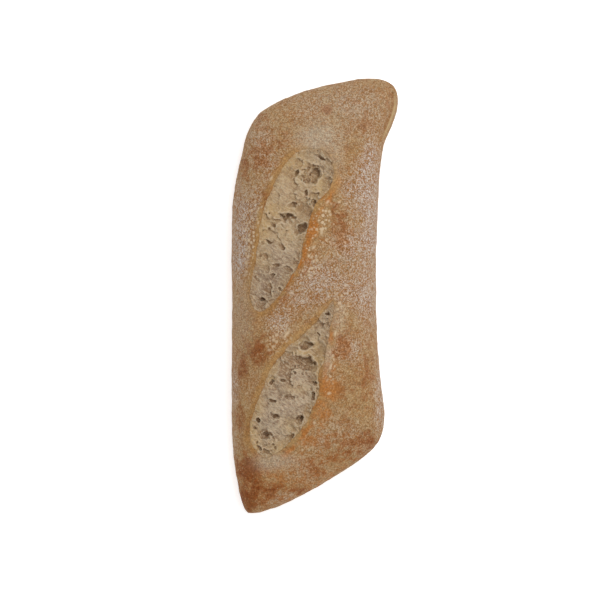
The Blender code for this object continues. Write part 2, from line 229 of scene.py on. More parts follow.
# The crumb's holes: bowls with a raised rim, and the undercut pocket at the far right of each
BOWL_SHARE = 0.8
BOWL_LEAN = 0.45
BOWL_RIM = 0.45
BOWL_RIM_AT = 1.1
BOWL_RIM_WIDTH = 0.16
BOWL_RIM_INSET = 2.0
POCKET_FROM = 3.0
POCKET_SHARE = 0.42
POCKET_SHIFT = (0.24, 0.15)
POCKET_SUNK = 0.75
SMALL_HOLE_SHARE = 0.85
SMALL_HOLE_DEPTH = 0.42
FAR_RIGHT = (0.85, 0.5)
HOLE_TILT = 0.3

# How a hole's outline wanders, and how far round its middle it may reach, in lengths and mm
HOLE_WANDER = 1.1
HOLE_WANDER_SIZE = 3.0
LOOSE_WIDTH = 3.4
HOLE_RUGGED = 0.22
HOLE_RUGGED_WAVES = ((1.9, 1.0), (1.0, 0.6))
HOLE_REACH = 0.65
HOLE_REACH_MORE = 1.6

# Small bubbles: where they are likely, and their sizes in mm, turns in degrees and shares
BUBBLE_TRIES = 1400
BUBBLE_INSET = 0.8
SMALL_BUBBLES = 150
EDGE_BUBBLES = 0.9
EDGE_BUBBLES_AT = 2.0
EDGE_BUBBLES_WIDTH = 1.9
EDGE_BUBBLES_LEFT = 0.35
EDGE_BUBBLES_RIGHT = 0.65
CLUMP_SIZE = 11.0
CLUMP_BUBBLES = 0.5
CLUMP_RANGE = (0.05, 0.5)
BUBBLE_LENGTH = 0.9
BUBBLE_LENGTH_MORE = 1.6
BUBBLE_LENGTH_POWER = 2.4
BUBBLE_WIDTH = (0.45, 0.85)
BUBBLE_DEPTH = (0.25, 0.55)
BUBBLE_DEPTH_MORE = 0.15
BUBBLE_TURN = 30.0

# Wide shallow dishes, and cells in the named holes
DISHES = 36
DISH_LENGTH = (5.0, 10.0)
DISH_DEPTH = (0.5, 1.1)
DISH_TURN = 25.0
CELLS_PER_AREA = 0.16
CELL_REACH = 0.48
CELL_SIZE = (0.9, 2.4)
CELL_WIDTH = 0.7
CELL_DEPTH = 0.5

# Seeds of the random patterns
CRUST_SEED = 3.1
CRUMB_SEED = 8.4
BAND_SEED = 6.3
MOUTH_SEEDS = (5.2, 9.7)
CLUMP_SEEDS = (20.0, 40.0)
CRUMB_SEEDS = (11, 23)

# The bare bands that run beside the slashes from above, yellow on the left and orange on the right
YELLOW_BANDS = [
    [(-6.0, 91.5), (-13.5, 86.5), (-20.5, 78.5), (-26.2, 67.5), (-31.1, 57.5), (-33.5, 48.2),
     (-34.5, 39.4), (-35.6, 30.7), (-38.1, 20.1), (-41.1, 10.5), (-42.5, 1.7), (-41.0, -7.0)],
    [(-5.6, -18.6), (-16.1, -27.5), (-24.0, -35.6), (-28.4, -42.5), (-32.0, -49.7),
     (-34.5, -56.7), (-38.0, -65.0), (-41.0, -72.0), (-42.2, -80.0), (-41.0, -89.5),
     (-36.3, -97.0)],
]
ORANGE_BANDS = [
    [(14.0, 71.0), (9.3, 60.0), (4.4, 52.7), (0.8, 46.0), (-2.4, 37.7), (-4.6, 30.0),
     (-7.6, 22.6), (-12.8, 14.4), (-18.5, 7.0), (-23.5, 0.0)],
    [(8.9, -22.0), (9.2, -30.4), (7.9, -39.0), (6.0, -48.7), (4.6, -57.5), (2.4, -66.3),
     (-1.4, -75.0), (-6.5, -82.6), (-12.6, -89.9), (-18.8, -96.0)],
]
BAND_WIDTH = 2.0
BAND_STRENGTH = {"yellow": 0.6, "orange": 0.75}
BAND_UNEVEN = 0.9
BAND_UNEVEN_SIZE = 8.0
BAND_MOST = 1.3

# Patches of the crust from above: x, y, reach across, reach along, and strength
BAKED_AND_SHADE = [
    (-27, 93, 9, 8, 0.5), (-32, 106, 3.5, 4.5, 0.55), (-34, 82, 7, 8, 0.6),
    (-42.5, 77, 3, 9, 0.5), (-29.5, 61, 4.5, 9, 0.45), (7, 111.6, 4.2, 3, 1.0),
    (24, 116.5, 7, 5, 0.3), (24, 100, 6, 9, 0.3), (31.2, 104, 4.2, 4.2, 0.75),
    (44.5, 118, 4, 8, 0.4), (15.4, 38, 6, 13, 0.65), (13, 52, 4, 6, 0.4),
    (-2, 15, 7, 6, 0.4), (-18, 2, 7, 6, 0.3), (-14.4, -6.6, 5, 4, 0.35),
    (-0.4, -1, 6, 4.5, 0.5), (-33.4, -33.5, 6.5, 7, 0.9), (-29, -25, 5, 4.5, 0.45),
    (-43.5, -44, 3.6, 7, 0.75), (-45.1, -73.3, 3.2, 8, 0.75), (16.4, -31, 6, 8, 0.95),
    (-40, -102.6, 8.5, 7.5, 0.95), (-37, -112.5, 8, 6, 0.6), (-40, -122, 9, 8, 0.9),
    (-24.5, -115.8, 8, 5, 0.65), (-9.1, -116.2, 5.5, 3, 0.7), (32, -86.8, 7, 6, 0.6),
    (18.9, -92, 15, 10, 0.45), (-4, -103, 10, 7, 0.45), (31.5, -45, 6, 8, 0.4),
    (32.1, -22.4, 4, 12, 0.35), (-31, -10, 10, 6, 0.25), (22, -60, 12, 16, 0.3),
    # The last patch is painted shade: it darkens the left flank, which faces away from the lamp
    (-43, -24, 7, 16, 0.3),
]
PALE = [
    (2, 95, 12, 7.5, 1.0), (13, 84, 4.5, 11, 0.45), (-28, -99, 8, 5, 0.8),
    (-43.5, -12, 6, 18, 0.4), (-17.5, -98.5, 8, 4, 0.5), (14, -12, 4.5, 9, 0.5),
    (7.6, -36, 2.4, 9, 0.6), (-42, 112, 9, 10, 0.3), (14, 113, 30, 14, 0.3),
]
FLOUR = [
    (33, 79, 6, 15, 0.9), (27, 60, 10, 14, 0.75), (33.8, 45, 5, 30, 0.9),
    (22, 27, 12, 14, 0.75), (1.4, 13, 10, 8, 0.75), (23, 4, 14, 9, 0.5),
    (-45, 28, 5.5, 21, 0.95), (-44, 52, 6, 16, 0.6), (-35, 53, 4, 10, 0.55),
    (-22.3, -15.4, 7, 7, 0.75), (19.5, -32, 8, 7, 0.8), (32, -5, 7, 16, 0.7),
    (39, -57, 3.5, 24, 0.75), (-48.5, -55, 2.5, 15, 0.6), (10, -84, 18, 10, 0.3),
    (-3, -105, 14, 7, 0.3), (-18, -121.5, 12, 4, 0.4), (34, -92, 8, 7, 0.3),
    (-32, 88, 9, 18, 0.6), (28, 112, 16, 12, 0.35), (-49, -92, 3, 16, 0.5),
    (5, 116, 22, 9, 0.25), (-4, 0, 16, 10, 0.65),
]
ORANGE = [
    (-1.6, 40.5, 4, 7, 1.0), (6.5, 57, 4, 6, 0.5), (-4.6, 26, 4, 8, 0.5),
    (9, -55.6, 6, 7, 1.0), (11.5, -40, 3.5, 8, 0.6), (4.5, -70, 6, 8, 0.75),
    (-3.5, -84, 6, 6, 0.5), (-8, -112, 30, 20, 0.5), (-38, -110, 12, 18, 0.5),
    (20, -90, 20, 14, 0.35),
]
YELLOW = [
    (11.5, 68, 3.5, 9, 0.7), (1, 53, 3.5, 4, 0.6), (-30, -12, 9, 6, 0.5),
    (2, -6, 6, 6, 0.5), (20, 107, 12, 9, 0.3), (13, -62, 12, 12, 0.2),
    (-37, -14, 8, 12, 0.3), (-41, -58, 4, 12, 0.35),
]
DOTTED = [
    (-38, 35, 5.5, 22, 1.0), (5, 46, 6, 13, 1.0), (-3, 25, 7, 12, 1.0),
    (-22, -24, 8, 7, 0.75), (14, -8, 6, 12, 0.8), (9.5, -41, 3.5, 10, 0.9),
    (-5, -92, 7, 4, 0.6), (-41, -60, 3, 12, 0.4), (12, -75, 9, 9, 0.3),
]
PATCHES = {
    "baked": BAKED_AND_SHADE, "pale": PALE, "floury": FLOUR, "orange": ORANGE, "yellow": YELLOW,
    "dotted": DOTTED,
}
BANDS = {"yellow": YELLOW_BANDS, "orange": ORANGE_BANDS}

# Patches of the crumb from above, in the same way: creamy ridges, dull hollows that are painted shade,
# and light webs
CREAMY = [
    (-12.6, 78, 8, 7, 0.7), (2.5, 66, 4.5, 7, 0.85), (1, 54, 3, 5, 0.85),
    (-25.5, 51, 4.5, 7, 0.75), (-30.5, 41, 3.5, 8, 0.85), (-18, 36, 8, 5, 0.4),
    (-16, 52.4, 9, 2.2, 0.6), (-30, 22, 4, 6, 0.4), (0, -34, 4, 8, 0.7),
    (-7, -33.6, 7, 2.2, 0.7), (4.5, -42, 3.5, 8, 0.85), (-35, -66, 4, 6, 0.6),
    (-14, -77, 6, 4, 0.5), (-20, -91, 9, 4.5, 0.8), (-36, -86, 3.5, 8, 0.7),
    (-12, -85, 4, 4, 0.6), (-2, -20, 5, 4, 0.3), (-12, 62, 16, 26, 0.4),
    (3, -44, 3, 14, 0.8), (-11, -26, 6, 2.5, 0.7), (-27, -45, 4, 7, 0.6),
    (-39, -80, 2.5, 8, 0.7), (-3.5, -72.5, 2.5, 6, 0.7), (-11, -55, 7, 3, 0.4),
]
HOLLOW_SHADE = [
    (-25, 14, 9, 11, 0.8), (-20.5, 21, 5, 7, 0.5), (-6.5, 48, 5, 9, 0.8),
    (-2.5, 74, 7, 7, 0.6), (-14, 56.5, 5, 2.5, 0.5), (-31.5, -1, 5, 6, 0.8),
    (-5, -42, 6, 6, 0.6), (-5, -29.5, 6, 4, 0.6), (-24, -50, 7, 5, 0.6),
    (-18, -59, 6, 4, 0.5), (-26, -73, 8, 4, 0.5), (-10.5, -74, 5, 4, 0.7),
    (-31, -84.5, 5, 4, 0.6), (9, -7, 3, 5, 0.6),
]
BRIGHT = [
    (-5, -57, 7, 9, 0.9), (-18, -80, 9, 6, 0.7), (1, -30, 4, 7, 0.7),
    (-25, -66, 6, 4, 0.5), (-17, 31, 9, 8, 0.6), (-23, 61, 5, 9, 0.4),
    (-14, 66, 5, 5, 0.5), (3, -19, 4, 5, 0.4), (-3, 83.5, 8, 3, 0.4),
]
CRUMB_PATCHES = {"creamy": CREAMY, "dull": HOLLOW_SHADE, "bright": BRIGHT}
PATCH_POWER = 1.3
PATCH_FALL = 0.7

# Small lumps of flour along the slashes: x, y, length, width, and turn in degrees
FLECKS = [
    (-33.7, 52.6, 1.8, 1.2, 60), (-31.9, 53.5, 1.5, 1.1, 60), (-26.2, 70.6, 3.0, 1.3, 60),
    (4.0, 38.6, 4.2, 1.5, 85), (7.5, 56.5, 2.6, 1.6, 50), (14.5, 56.5, 2.0, 1.4, 40),
    (-2.1, 23.6, 1.8, 1.4, 45), (-0.8, 29.3, 2.4, 1.8, 50), (-41.1, 19.7, 2.4, 1.5, 70),
    (-24.9, -25.9, 2.0, 1.7, 0), (-24.9, -29.9, 1.6, 1.6, 0), (-27.5, -32.0, 1.9, 1.3, -20),
    (-17.0, -22.4, 6.5, 1.5, 52), (9.3, -41.7, 4.0, 1.3, 75), (-0.4, -75.5, 1.9, 1.5, 80),
    (8.4, -57.9, 2.4, 1.5, 10), (-40.7, -57.9, 1.4, 1.2, 0), (25.5, -75.0, 1.8, 1.4, 70),
    (-30.0, -92.0, 1.4, 1.0, 0), (12.0, -22.0, 3.4, 1.4, 78), (-34.0, 44.0, 1.6, 1.2, 60),
]

# Colours as they look, from 0 to 255
TAN = (164, 130, 84)
GOLDEN = (156, 112, 61)
BROWN = (140, 90, 46)
CRACK_BROWN = (146, 98, 54)
DARK_BROWN = (120, 56, 10)
PALE_CRUST = (182, 168, 146)
FLOUR_WARM = (184, 163, 134)
FLOUR_WHITE = (190, 179, 171)
FLOUR_TOASTED = (196, 152, 106)
LIP_YELLOW = (176, 137, 86)
LIP_ORANGE = (174, 110, 49)
LIP_TAN = (168, 130, 86)
STRIP_CREAM = (192, 165, 122)
CREAM = (190, 159, 112)
EDGE_TAN_AND_SHADE = (167, 137, 102)
EDGE_BROWN = (166, 128, 84)
FLECK = (208, 183, 150)
CRUMB_BEIGE = (187, 164, 137)
CRUMB_GREY = (156, 133, 111)
CRUMB_LIGHT = (204, 184, 156)
CRUMB_DULL = (136, 111, 89)
PIT_SHADE_BROWN = (118, 86, 60)
HOLE_BROWN_AND_SHADE = (150, 117, 84)

# How much darker a surface's own colour is than it looks under the studio light
GAIN = 0.82

# The light, in metres and watts
WORLD_STRENGTH = 0.69
LAMP_SIZE = 1.3
LAMP_POWER = 15.0
LAMP_PLACE = (0.5, 0.4, 1.4)

# The floor: half its size in metres, its own light, and how far it is below the loaf, in mm
FLOOR_HALF = 8.0
FLOOR_GLOW = 0.45
FLOOR_DROP = 0.2

# The camera: its place from above and its sensor in mm, and the rest in metres
CAMERA_X = -9.0
CAMERA_Y = -2.1
CAMERA_HEIGHT = 6.0
FRAME_WIDTH = 0.36
FOCUS_HEIGHT = 0.02
SENSOR = 36.0


def smooth_loop(points):
    """A closed centripetal Catmull-Rom curve through the given points, which it meets exactly."""
    given = np.array(points, float)
    before, after = np.roll(given, 1, 0), np.roll(given, -1, 0)
    ahead = np.sqrt(np.linalg.norm(after - given, axis=1))[:, None]
    behind = np.roll(ahead, 1, 0)
    slope = (
        (given - before) / behind - (after - before) / (behind + ahead) + (after - given) / ahead
    )
    t = (np.arange(SAMPLES_PER_SPAN) / SAMPLES_PER_SPAN)[:, None]
    spans = (
        given[:, None] * (1 + 2 * t) * (1 - t)**2
        + after[:, None] * (3 - 2 * t) * t**2
        + (slope * ahead)[:, None] * t * (1 - t)**2
        - (np.roll(slope, -1, 0) * ahead)[:, None] * (1 - t) * t**2
    )
    return spans.reshape(-1, 2)


def open_curve(points):
    """The part of a smooth loop that runs from the first given point to the last."""
    return smooth_loop(points)[:1 - SAMPLES_PER_SPAN]


def lengths(curve):
    """How far along an open curve each of its points lies."""
    steps = np.linalg.norm(np.diff(curve, axis=0), axis=1)
    return np.concatenate([[0.0], np.cumsum(steps)])


def sampled(curve, places, at):
    """Points of a curve at other places along it than the given places of its own points."""
    return np.column_stack([np.interp(at, places, curve[:, k]) for k in range(2)])


def evenly(curve):
    """Points at even steps along an open curve."""
    length = lengths(curve)
    return sampled(curve, length, np.linspace(0.0, length[-1], SIDE_SAMPLES))


def four_sides():
    """The outline's curve, split at the mesh corners into left, far, right and near sides."""
    loop = smooth_loop(OUTLINE)
    starts = [OUTLINE.index(corner) * SAMPLES_PER_SPAN for corner in CORNERS]
    stops = starts[1:] + [len(loop)]
    closed = np.vstack([loop, loop[:1]])
    left, far, right, near = (evenly(closed[a:b + 1]) for a, b in zip(starts, stops))
    return left, far, right[::-1], near[::-1]


def patch_point(sides, u, v):
    """The point at u across and v along, each from -1 to 1, of the plan between four sides."""
    left, far, right, near = sides
    s, t = (u[:, None] + 1) / 2, (v[:, None] + 1) / 2

    def on(side, share):
        return sampled(side, range(SIDE_SAMPLES), share[:, 0] * (SIDE_SAMPLES - 1))

    across = (1 - s) * on(left, t) + s * on(right, t)
    lengthwise = (1 - t) * on(near, s) + t * on(far, s)
    corners = (
        (1 - s) * (1 - t) * left[0] + s * (1 - t) * right[0]
        + (1 - s) * t * left[-1] + s * t * right[-1]
    )
    return across + lengthwise - corners


class Line:
    """A fine open or closed curve from above, which finds its nearest point to other points."""

    def __init__(self, points, closed=False):
        self.points = points
        self.closed = closed
        ends = np.vstack([points, points[:1]]) if closed else points
        self.start, self.step = ends[:-1], np.diff(ends, axis=0)
        self.tree = kdtree.KDTree(len(points))
        for number, (x, y) in enumerate(points):
            self.tree.insert((x, y, 0.0), number)
        self.tree.balance()
        turned = np.roll(points, -1, 0)
        area = (points[:, 0] * turned[:, 1] - points[:, 1] * turned[:, 0]).sum()
        self.winding = 1.0 if area > 0 else -1.0

    def nearest(self, xy):
        """The nearest point of the curve to each point, and the number of its span."""
        closest = np.array([self.tree.find((x, y, 0.0))[1] for x, y in xy])
        spots, gaps, spans = [], [], []
        for span in (closest - 1, closest):
            span = span % len(self.step) if self.closed else span.clip(0, len(self.step) - 1)
            start, step = self.start[span], self.step[span]
            share = np.clip(((xy - start) * step).sum(1) / (step**2).sum(1), 0.0, 1.0)
            spots.append(start + share[:, None] * step)
            gaps.append(((spots[-1] - xy) ** 2).sum(1))
            spans.append(span)
        later = gaps[1] < gaps[0]
        return np.where(later[:, None], spots[1], spots[0]), np.where(later, spans[1], spans[0])

    def distance(self, xy):
        return np.linalg.norm(xy - self.nearest(xy)[0], axis=1)

    def signed_distance(self, xy):
        """Distance to a closed curve, negative inside it."""
        spot, span = self.nearest(xy)
        step, offset = self.step[span], xy - self.start[span]
        leftward = self.winding * (step[:, 0] * offset[:, 1] - step[:, 1] * offset[:, 0])
        return np.where(leftward > 0, -1.0, 1.0) * np.linalg.norm(xy - spot, axis=1)


def smoothstep(value, low, high):
    t = np.clip((value - low) / (high - low), 0.0, 1.0)
    return t * t * (3 - 2 * t)


def relief(xy, size, seed):
    """Smooth noise from -1 to 1 over the plan, with lumps of about this size."""
    return np.array([noise.noise(Vector((x / size, y / size, seed))) for x, y in xy])


def lumps(points, size):
    """Smooth noise from -1 to 1 in space, with lumps of about this size."""
    return np.array([noise.noise(Vector(p)) for p in points / size])


def torn(loop, seed):
    """The ragged torn edge along a smooth closed curve."""
    ring = np.vstack([loop, loop[:1]])
    length = lengths(ring)
    fine = sampled(ring, length, np.arange(0.0, length[-1] - EDGE_STEP / 2, EDGE_STEP))
    ahead = np.roll(fine, -1, 0) - np.roll(fine, 1, 0)
    normal = np.column_stack([ahead[:, 1], -ahead[:, 0]])
    normal /= np.linalg.norm(normal, axis=1)[:, None]
    wander = sum(height * relief(fine, size, seed) for size, height in EDGE_WANDERS)
    return Line(fine + wander[:, None] * normal, closed=True)


RIM = four_sides()
RIM_LINES = [Line(side) for side in RIM]
SLASHES = [Line(smooth_loop(points), closed=True) for points in (FAR_SLASH, NEAR_SLASH)]
MOUTHS = [
    torn(smooth_loop(points), seed) for points, seed in zip((FAR_MOUTH, NEAR_SLASH), MOUTH_SEEDS)
]


def rim_distance(xy):
    """Distance from the rim, rounded where the nearest side changes, so that no ridge forms."""
    total = sum(np.maximum(side.distance(xy), 1e-6) ** -SIDE_SOFTNESS for side in RIM_LINES)
    return total ** (-1 / SIDE_SOFTNESS)


def rightward(slash):
    """The level direction square to a slash's length, to the right."""
    loop = slash.points
    length = loop[loop[:, 1].argmax()] - loop[loop[:, 1].argmin()]
    return np.array([length[1], -length[0]]) / np.linalg.norm(length)


def right_share(slash, xy):
    """0 at a slash's left edge and 1 at its right edge, across the slant of the slash."""
    across, edges = xy @ rightward(slash), slash.points @ rightward(slash)
    return np.clip((across - edges.min()) / (edges.max() - edges.min()), 0.0, 1.0)


def bump(distance, width):
    return np.exp(-((distance / width) ** 2))


def crust_height(xy):
    """Height of the crust over the plan, with the slashes' raised lips and the corner's groove."""
    taper = smoothstep(np.abs(xy[:, 1]), END_TAPER_START, END_TAPER_STOP)
    crown = CROWN_HEIGHT + (END_HEIGHT - CROWN_HEIGHT) * taper
    share = np.clip(rim_distance(xy) / DOME_HALF_WIDTH, 0.0, 1.0)
    rise = (1 - (1 - share) ** DOME_SHOULDER) ** 0.5
    height = RIM_HEIGHT + (crown - RIM_HEIGHT) * rise
    height += rise * CRUST_RELIEF * relief(xy, CRUST_RELIEF_SIZE, CRUST_SEED)
    for slash in SLASHES:
        out = slash.signed_distance(xy)
        lip = LIP_HEIGHT_LEFT + (LIP_HEIGHT_RIGHT - LIP_HEIGHT_LEFT) * right_share(slash, xy)
        height += rise * lip * bump(out - LIP_OFFSET, LIP_WIDTH)
    groove = GROOVE_DEPTH * bump(RIM_LINES[2].distance(xy) - GROOVE_OFFSET, GROOVE_WIDTH)
    return height - groove * smoothstep(xy[:, 1], GROOVE_START, GROOVE_FULL)


def crumb_height(xy, out):
    """Height of the torn crumb: drawn up to the mouth's edge, lower and rough within."""
    within = smoothstep(-out, 0.0, WEB_WIDTH)
    rough = CRUMB_RELIEF * relief(xy, CRUMB_RELIEF_SIZE, CRUMB_SEED)
    return crust_height(xy) - WEB_STEP - (CRUMB_DEPTH - WEB_STEP - rough) * within


def settled(xy, inset):
    """Moves points in or out along the slope of the rim distance until it equals the inset."""
    for _ in range(SETTLE_STEPS):
        here = rim_distance(xy)
        slope = np.column_stack([
            rim_distance(xy + (SLOPE_STEP, 0.0)) - here,
            rim_distance(xy + (0.0, SLOPE_STEP)) - here,
        ]) / SLOPE_STEP
        xy = xy + ((inset - here) / (slope**2).sum(1))[:, None] * slope
    return xy


def inset_sides():
    """The four sides of the dome's flatter top, an even distance inside the rim."""
    share = np.linspace(-1.0, 1.0, SIDE_SAMPLES)
    edge = np.ones(SIDE_SAMPLES)
    across, lengthwise = 1 - BORDER_INSET / HALF_WIDTH, 1 - BORDER_INSET / HALF_LENGTH
    ends = ((-edge, share), (share, edge), (edge, share), (share, -edge))
    return [settled(patch_point(RIM, u * across, v * lengthwise), BORDER_INSET) for u, v in ends]


def crust_grid():
    """The crust's points in millimetres, with the cells of its top, its sides and its base."""
    nx, ny = CELLS_ACROSS, CELLS_ALONG
    u, v = np.meshgrid(np.linspace(-1, 1, nx + 1), np.linspace(-1, 1, ny + 1))
    index = np.arange(u.size).reshape(u.shape)
    top = np.stack([index[:-1, :-1], index[:-1, 1:], index[1:, 1:], index[1:, :-1]], -1)
    ring = np.concatenate([index[0, :-1], index[:-1, -1], index[-1, :0:-1], index[:0:-1, 0]])
    u, v = u.ravel(), v.ravel()
    inner = patch_point(inset_sides(), u, v)
    rim = patch_point(RIM, u[ring], v[ring])
    above = np.linspace(1, 0, CELLS_ABOVE_RIM + 1)[1:]
    below = np.linspace(0, math.pi / 2, CELLS_BELOW_RIM + 1)[1:]
    inset = np.concatenate([BORDER_INSET * above**2, BASE_INSET * (1 - np.cos(below))])
    insets = np.repeat(inset, len(ring))
    sides = np.tile(rim, (len(inset), 1))
    starts = sides + (insets / BORDER_INSET)[:, None] * (np.tile(inner[ring], (len(inset), 1)) - sides)
    off_rim = insets > 0
    sides[off_rim] = settled(starts[off_rim], insets[off_rim])
    height = np.full(len(sides), RIM_HEIGHT)
    upper = np.arange(len(sides)) < (CELLS_ABOVE_RIM - 1) * len(ring)
    height[upper] = crust_height(sides[upper])
    height[CELLS_ABOVE_RIM * len(ring):] = np.repeat(RIM_HEIGHT * (1 - np.sin(below)), len(ring))
    rows = np.vstack([ring, len(u) + np.arange(len(sides)).reshape(len(inset), -1)])
    over, under = rows[:-1], rows[1:]
    walls = np.stack([under, np.roll(under, -1, 1), np.roll(over, -1, 1), over], -1)
    xy = np.vstack([inner, sides])
    z = np.concatenate([crust_height(inner), height])
    return np.column_stack([xy, z]), top.reshape(-1, 4), walls.reshape(-1, 4), rows[-1]


def open_mouth(points, cells, mouth):
    """Takes the crust's cells out of a slash's mouth and draws the cells round it up to its edge.

    Returns the cells that stay, and the edges of the opening as pairs of points.
    """
    used = np.unique(cells)
    out = np.full(len(points), np.inf)
    out[used] = mouth.signed_distance(points[used, :2])
    gone = (out[cells] < -MOUTH_CLEARANCE).any(1)
    kept = cells[~gone]
    edges = np.stack([cells, np.roll(cells, -1, 1)], -1)
    lost = edges[gone].reshape(-1, 2)
    left = edges[~gone].reshape(-1, 2)
    key = left[:, 0] * len(points) + left[:, 1]
    twin = lost[:, 1] * len(points) + lost[:, 0]
    border = left[np.isin(key, twin)]
    movers = np.unique(border)
    points[movers, :2] = mouth.nearest(points[movers, :2])[0]
    points[movers, 2] = crust_height(points[movers, :2])
    return kept, border


def cut_side(points, border, mouth):
    """The cut side of the crust below a mouth's edge, leaning in under the right lip."""
    ids, pair = np.unique(border, return_inverse=True)
    pair = pair.reshape(-1, 2)
    top = points[ids]
    step = mouth.step[mouth.nearest(top[:, :2])[1]] * mouth.winding
    inward = np.column_stack([-step[:, 1], step[:, 0]])
    inward /= np.linalg.norm(inward, axis=1)[:, None]
    rows, cells = [], []
    for number, depth in enumerate(CUT_ROWS):
        swell = CUT_BULGE * math.sin(math.pi * min(depth / CUT_BULGE_DEPTH, 1.0))
        lean = LIP_OVERHANG * depth * rightward(mouth)
        rows.append(np.column_stack([top[:, :2] + lean + swell * inward, top[:, 2] - depth]))
        here = len(points) + number * len(ids) + np.arange(len(ids))
        if number:
            cells.append(np.column_stack([before[pair[:, ::-1]], here[pair]]))
        before = here
    return np.vstack(rows), np.vstack(cells)


def patches(xy, table):
    """How strongly each point lies in any of a table's soft-edged patches, from 0 to 1."""
    clear = np.ones(len(xy))
    for x, y, across, along, strength in table:
        reach = ((xy[:, 0] - x) / across) ** 2 + ((xy[:, 1] - y) / along) ** 2
        clear *= 1 - strength * np.exp(-(reach**PATCH_POWER) * PATCH_FALL)
    return 1 - clear


def turned(x, y, turn):
    """Offsets along and across a direction that is turned by so many degrees."""
    a = math.radians(turn)
    return x * math.cos(a) + y * math.sin(a), y * math.cos(a) - x * math.sin(a)


def fleck_cover(xy):
    """1 on the small lumps of flour along the slashes, 0 off them."""
    cover = np.zeros(len(xy))
    for x, y, length, width, turn in FLECKS:
        along, across = turned(xy[:, 0] - x, xy[:, 1] - y, turn)
        reach = (along / (length / 2)) ** 2 + (across / (width / 2)) ** 2
        cover = np.maximum(cover, np.exp(-(reach**FLECK_POWER)))
    return cover


def put_attribute(mesh, name, values):
    attribute = mesh.attributes.new(name, "FLOAT", "POINT")
    attribute.data.foreach_set("value", np.asarray(values, np.float32))


def new_mesh(name, points, faces):
    """A smooth-shaded mesh from points in millimetres and lists of faces."""
    mesh = bpy.data.meshes.new(name)
    mesh.from_pydata((points * MM).tolist(), [], faces)
    mesh.validate()
    mesh.shade_smooth()
    return mesh


def new_object(name, data):
    thing = bpy.data.objects.new(name, data)
    bpy.context.scene.collection.objects.link(thing)
    return thing


def add_piece(name, mesh, finish):
    piece = new_object(name, mesh)
    piece.data.materials.append(finish)
    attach(piece, "root")
    return piece


def used_only(points, faces):
    """Drops the points that no face uses."""
    flat = np.concatenate([np.asarray(f).ravel() for f in faces])
    used, where = np.unique(flat, return_inverse=True)
    sizes = [len(f) for f in faces]
    stops = np.cumsum(sizes)
    return points[used], [part.tolist() for part in np.split(where, stops[:-1])], used


def make_crust():
    points, top, walls, base = crust_grid()
    skirts = []
    for mouth in MOUTHS:
        top, border = open_mouth(points, top, mouth)
        rows, cells = cut_side(points, border, mouth)
        points = np.vstack([points, rows])
        skirts.append(cells)
    faces = np.vstack([top, walls, *skirts]).tolist() + [base[::-1].tolist()]
    points, faces, _ = used_only(points, faces)
    mesh = new_mesh("crust", points, faces)
    mesh.polygons[len(faces) - 1].use_smooth = False
    normals = np.zeros(len(points) * 3, np.float32)
    mesh.vertex_normals.foreach_get("vector", normals)
    normals = normals.reshape(-1, 3)
    xy = points[:, :2]
    lip = np.minimum(*[mouth.signed_distance(xy) for mouth in MOUTHS])
    swell = sum(height * lumps(points, size) for size, height in CRUST_LUMPS)
    swell *= smoothstep(points[:, 2], 0.0, BASE_CALM_HEIGHT) * smoothstep(lip, 0.0, LIP_CALM_WIDTH)
    flecks = fleck_cover(xy) * (points[:, 2] > RIM_HEIGHT)
    swell += FLECK_HEIGHT * flecks
    moved = points + swell[:, None] * normals
    mesh.vertices.foreach_set("co", (moved * MM).astype(np.float32).ravel())
    upper = smoothstep(points[:, 2], LOOKS_END_HEIGHT, RIM_HEIGHT)
    uneven = np.clip(1 + BAND_UNEVEN * relief(xy, BAND_UNEVEN_SIZE, BAND_SEED), 0.0, BAND_MOST)
    for name, table in PATCHES.items():
        cover = patches(xy, table)
        for band in BANDS.get(name, []):
            run = Line(open_curve(band)).distance(xy)
            cover = np.maximum(cover, BAND_STRENGTH[name] * uneven * bump(run, BAND_WIDTH))
        put_attribute(mesh, name, cover * upper)
    put_attribute(mesh, "fleck", flecks)
    put_attribute(mesh, "lip", lip + FAR_BELOW * (1 - upper))
    put_attribute(mesh, "low", 1 - upper)
    edge = RIM_LINES[2].distance(xy)
    corner = smoothstep(xy[:, 1], *STRIP_START) * smoothstep(xy[:, 1], *STRIP_END) * upper
    for name, (inset, width) in STRIPS.items():
        put_attribute(mesh, name, corner * bump(edge - inset, width))
    mesh.update()
    crust = add_piece("crust", mesh, crust_finish())
    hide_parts("loaf")


def lattice(shape, low, size, turn, stretch, rng):
    """Smooth noise from -1 to 1 over a grid of VOXEL cells, drawn out along a direction."""
    x = low[0] + np.arange(shape[0])[:, None] * VOXEL
    y = low[1] + np.arange(shape[1])[None, :] * VOXEL
    along, across = turned(x, y, turn)
    along, across = along / (size * stretch), across / size
    i, j = np.floor(along).astype(int), np.floor(across).astype(int)
    p, q = along - i, across - j
    i, j = i - i.min(), j - j.min()
    table = rng.uniform(-1, 1, (i.max() + 2, j.max() + 2))
    p, q = p * p * (3 - 2 * p), q * q * (3 - 2 * q)
    near = table[i, j] * (1 - p) + table[i + 1, j] * p
    far = table[i, j + 1] * (1 - p) + table[i + 1, j + 1] * p
    return near * (1 - q) + far * q


def pockets(holes):
    """The undercut far right part of each named hole, with how far its middle is sunk."""
    made = []
    for x, y, length, width, depth, turn in holes:
        if width > POCKET_FROM:
            x, y, part = x + POCKET_SHIFT[0] * width, y + POCKET_SHIFT[1] * width, POCKET_SHARE
            sunk, deep = POCKET_SUNK * depth, part * depth
        else:
            part, sunk, deep = SMALL_HOLE_SHARE, HOLE_SINK * depth, SMALL_HOLE_DEPTH * depth
        made.append((x, y, part * length, part * width, deep, turn, sunk))
    return made


